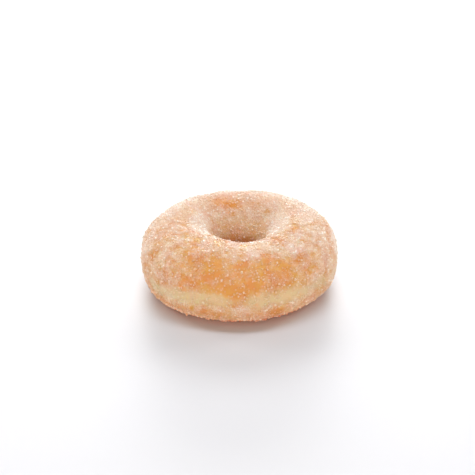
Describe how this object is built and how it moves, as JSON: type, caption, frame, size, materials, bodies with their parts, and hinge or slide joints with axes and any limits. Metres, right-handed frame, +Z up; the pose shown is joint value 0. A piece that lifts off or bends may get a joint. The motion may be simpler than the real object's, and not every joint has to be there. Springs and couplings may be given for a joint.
{
  "type": "mini sugar doughnut",
  "caption": "Small plump ring of fried yeast dough with a round hole, coated all over in granulated sugar.",
  "frame": {"origin": "on the table under the middle of the ring, where the hole's axis meets the sole's plane", "axes": "+Z up along the hole's axis, out of the face that lies upwards; the ring bulges most towards -Y and a little -X"},
  "size_m": [0.0625, 0.0626, 0.0232],
  "materials": {
    "sugared_crust": "golden fried yeast dough under a coat of granulated sugar, paler round the waist"
  },
  "bodies": {
    "root": {"doughnut": "sugared_crust"}
  },
  "joints": []
}
